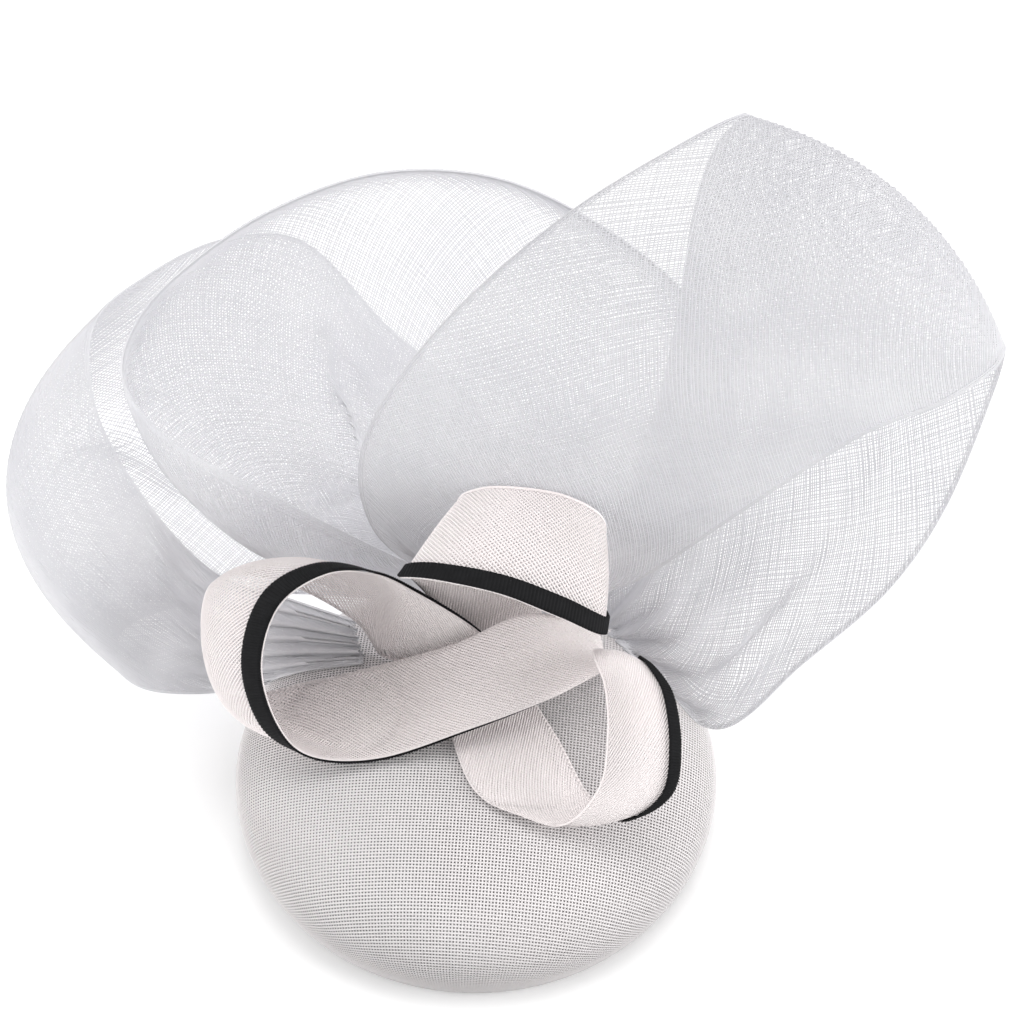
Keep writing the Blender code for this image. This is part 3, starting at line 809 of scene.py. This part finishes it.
# front_spread, front_rise, front_stand, back_spread, back_rise, back_stand
LEFT_STRAW = (
    (0.255, 0.00, 0.36, 0.235, 0.075, 0.30, 0.00),
    (0.14, -0.035, 0.57, 0.10, 0.11, 0.42, 0.03),
    (-0.01, -0.08, 0.68, -0.04, 0.045, 0.36, 0.06),
    (-0.18, -0.14, 0.65, -0.19, -0.02, 0.16, 0.08),
    (-0.31, -0.135, 0.67, -0.34, -0.06, 0.12, 0.12),
    (-0.375, -0.075, 0.67, -0.48, -0.08, 0.14, 0.15),
    (-0.405, 0.04, 0.67, -0.53, 0.02, 0.14, 0.17),
    (-0.37, 0.155, 0.67, -0.51, 0.14, 0.12, 0.16),
    (-0.28, 0.215, 0.67, -0.39, 0.14, 0.06, 0.14),
    (-0.19, 0.21, 0.62, -0.24, 0.06, 0.04, 0.09),
    (-0.11, 0.16, 0.50, -0.17, -0.03, 0.05, 0.04),
    (0.00, 0.07, 0.32, -0.06, -0.06, 0.15, 0.00),
    (0.07, -0.02, 0.17, 0.02, -0.08, 0.22, 0.00),
)
TOP_STRAW = (
    (0.05, -0.03, 0.10, 0.15, -0.02, 0.02, 0.00),
    (-0.05, 0.09, 0.27, 0.11, 0.13, 0.19, 0.00),
    (-0.12, 0.19, 0.50, 0.03, 0.24, 0.38, 0.02),
    (-0.135, 0.222, 0.78, -0.03, 0.33, 0.47, 0.03),
    (-0.07, 0.232, 0.92, 0.01, 0.362, 0.50, 0.05),
    (0.05, 0.21, 0.96, 0.09, 0.365, 0.52, 0.08),
    (0.16, 0.163, 0.93, 0.18, 0.345, 0.50, 0.08),
    (0.24, 0.117, 0.80, 0.245, 0.295, 0.45, 0.04),
    (0.228, 0.125, 0.36, 0.238, 0.19, 0.26, 0.02),
    (0.222, 0.085, 0.18, 0.232, 0.11, 0.15, 0.00),
    (0.205, -0.03, 0.02, 0.225, -0.01, -0.04, 0.00),
)
RIGHT_STRAW = (
    (0.10, -0.05, 0.33, -0.05, -0.10, 0.52, 0.00),
    (0.16, -0.12, 0.57, 0.00, -0.19, 0.78, 0.04),
    (0.22, -0.20, 0.80, 0.09, -0.22, 0.92, 0.06),
    (0.30, -0.21, 0.97, 0.17, -0.23, 0.97, 0.08),
    (0.37, -0.155, 1.07, 0.235, -0.15, 1.03, 0.14),
    (0.385, -0.07, 1.07, 0.25, -0.05, 1.00, 0.18),
    (0.37, 0.02, 0.95, 0.245, 0.025, 0.87, 0.16),
    (0.325, 0.052, 0.75, 0.225, 0.07, 0.68, 0.10),
    (0.31, 0.00, 0.43, 0.275, 0.02, 0.35, 0.04),
    (0.31, -0.05, 0.23, 0.28, -0.04, 0.12, 0.00),
)


def grosgrain_material():
    """Black ribbon: near-black with a slow change of tint and a faint fuzz."""
    made = bpy.data.materials.new("black_grosgrain")
    made.use_nodes = True
    tree = made.node_tree
    shader = tree.nodes["Principled BSDF"]
    where = tree.nodes.new("ShaderNodeTexCoord")
    cloud = tree.nodes.new("ShaderNodeTexNoise")
    cloud.inputs["Scale"].default_value = 400.0
    ramp = tree.nodes.new("ShaderNodeValToRGB")
    ramp.color_ramp.elements[0].color = (*(0.6 * part for part in GROSGRAIN_TINT), 1)
    ramp.color_ramp.elements[1].color = (*(1.4 * part for part in GROSGRAIN_TINT), 1)
    tree.links.new(where.outputs["Object"], cloud.inputs["Vector"])
    tree.links.new(cloud.outputs["Fac"], ramp.inputs["Fac"])
    tree.links.new(ramp.outputs["Color"], shader.inputs["Base Color"])
    shader.inputs["Roughness"].default_value = 0.7
    shader.inputs["Specular IOR Level"].default_value = 0.15
    return made


def grosgrain_piece(name, table, length):
    """The edging: a strip of the loop's own surface, moved out, with ribs across it.

    The ribs are a sine of the distance along the ribbon, and both faces are built, joined
    round their edges.
    """
    ribs = int(length / RIB_PITCH)
    along = RIB_STEPS * ribs + 1
    reach = (-GROSGRAIN_OVERHANG / STRIP_CUT, (GROSGRAIN_WIDTH - GROSGRAIN_OVERHANG) / STRIP_CUT)
    size = (along, GROSGRAIN_ACROSS)
    grid = ribbon_grid(table, *size, 1, 0.0, 1, GROSGRAIN_LIFT, reach, GROSGRAIN_OFFSET)
    normals = grid_normals(grid, 1)
    wave = np.sin(2 * math.pi * ribs * np.linspace(0, 1, along))[:, None, None]
    swell = GROSGRAIN_WALL / 2 + RIB_DEPTH * wave
    loop = np.concatenate((grid + normals * swell, (grid - normals * swell)[:, ::-1]), axis=1)
    rows, columns = loop.shape[:2]
    index = np.arange(rows * columns).reshape(rows, columns)
    beside = np.roll(index, -1, axis=1)
    quads = np.stack((index[:-1], index[1:], beside[1:], beside[:-1]), axis=-1).reshape(-1, 4)
    mesh = bpy.data.meshes.new(name)
    faces = quads.tolist() + [index[0].tolist(), index[-1][::-1].tolist()]
    mesh.from_pydata(loop.reshape(-1, 3).tolist(), [], faces)
    mesh.polygons.foreach_set("use_smooth", np.ones(len(faces), bool))
    mesh.materials.append(grosgrain)
    piece = bpy.data.objects.new(name, mesh)
    bpy.context.scene.collection.objects.link(piece)
    return piece


def bow_loop(side, table):
    """One loop of the bow: the straw strip on the bias, its turned edges, and its edging.

    The two directions of thread lie sunk into each other, so that both faces show both.
    """
    grid = ribbon_grid(table, *STRIP_GRID, 1, 0.0, 1, STRIP_LIFT)
    length = float(path_length(grid[:, STRIP_GRID[1] // 2])[-1])
    steps = int(STRIP_CUT * math.sqrt(2) / STRIP_STEP)
    size, edge_size = (STRIP_THREAD, STRIP_DEPTH), (STRIP_THREAD, STRIP_DEPTH * EDGE_DEEPER)
    level = grid_normals(grid, 1) * STRIP_DEPTH * STRIP_SINK
    flat = (length, STRIP_CUT, STRIP_PITCH)
    shapes = [
        bias_threads(grid - level, 1, *flat, steps, *size, STRAW_WANDER, 1),
        bias_threads(grid + level, 1, *flat, steps, *size, STRAW_WANDER, -1),
        edge_threads(grid, 1, STRIP_EDGES, STRIP_EDGE_STEPS, *edge_size),
    ]
    strip = thread_piece(f"bow_{side}_weave", shapes, straw_thread)
    edging = grosgrain_piece(f"bow_{side}_grosgrain", table, length)
    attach(strip, "root")
    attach(edging, "root")
    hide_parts(f"sinamay_loop_{side}")
    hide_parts(f"ribbon_edge_{side}")


straw_thread = straw_material("straw_thread", STRAW_TINT, STRAW_SHADE, STRAW_GRAIN)
grosgrain = grosgrain_material()
bow_loop("left", LEFT_STRAW)
bow_loop("top", TOP_STRAW)
bow_loop("right", RIGHT_STRAW)
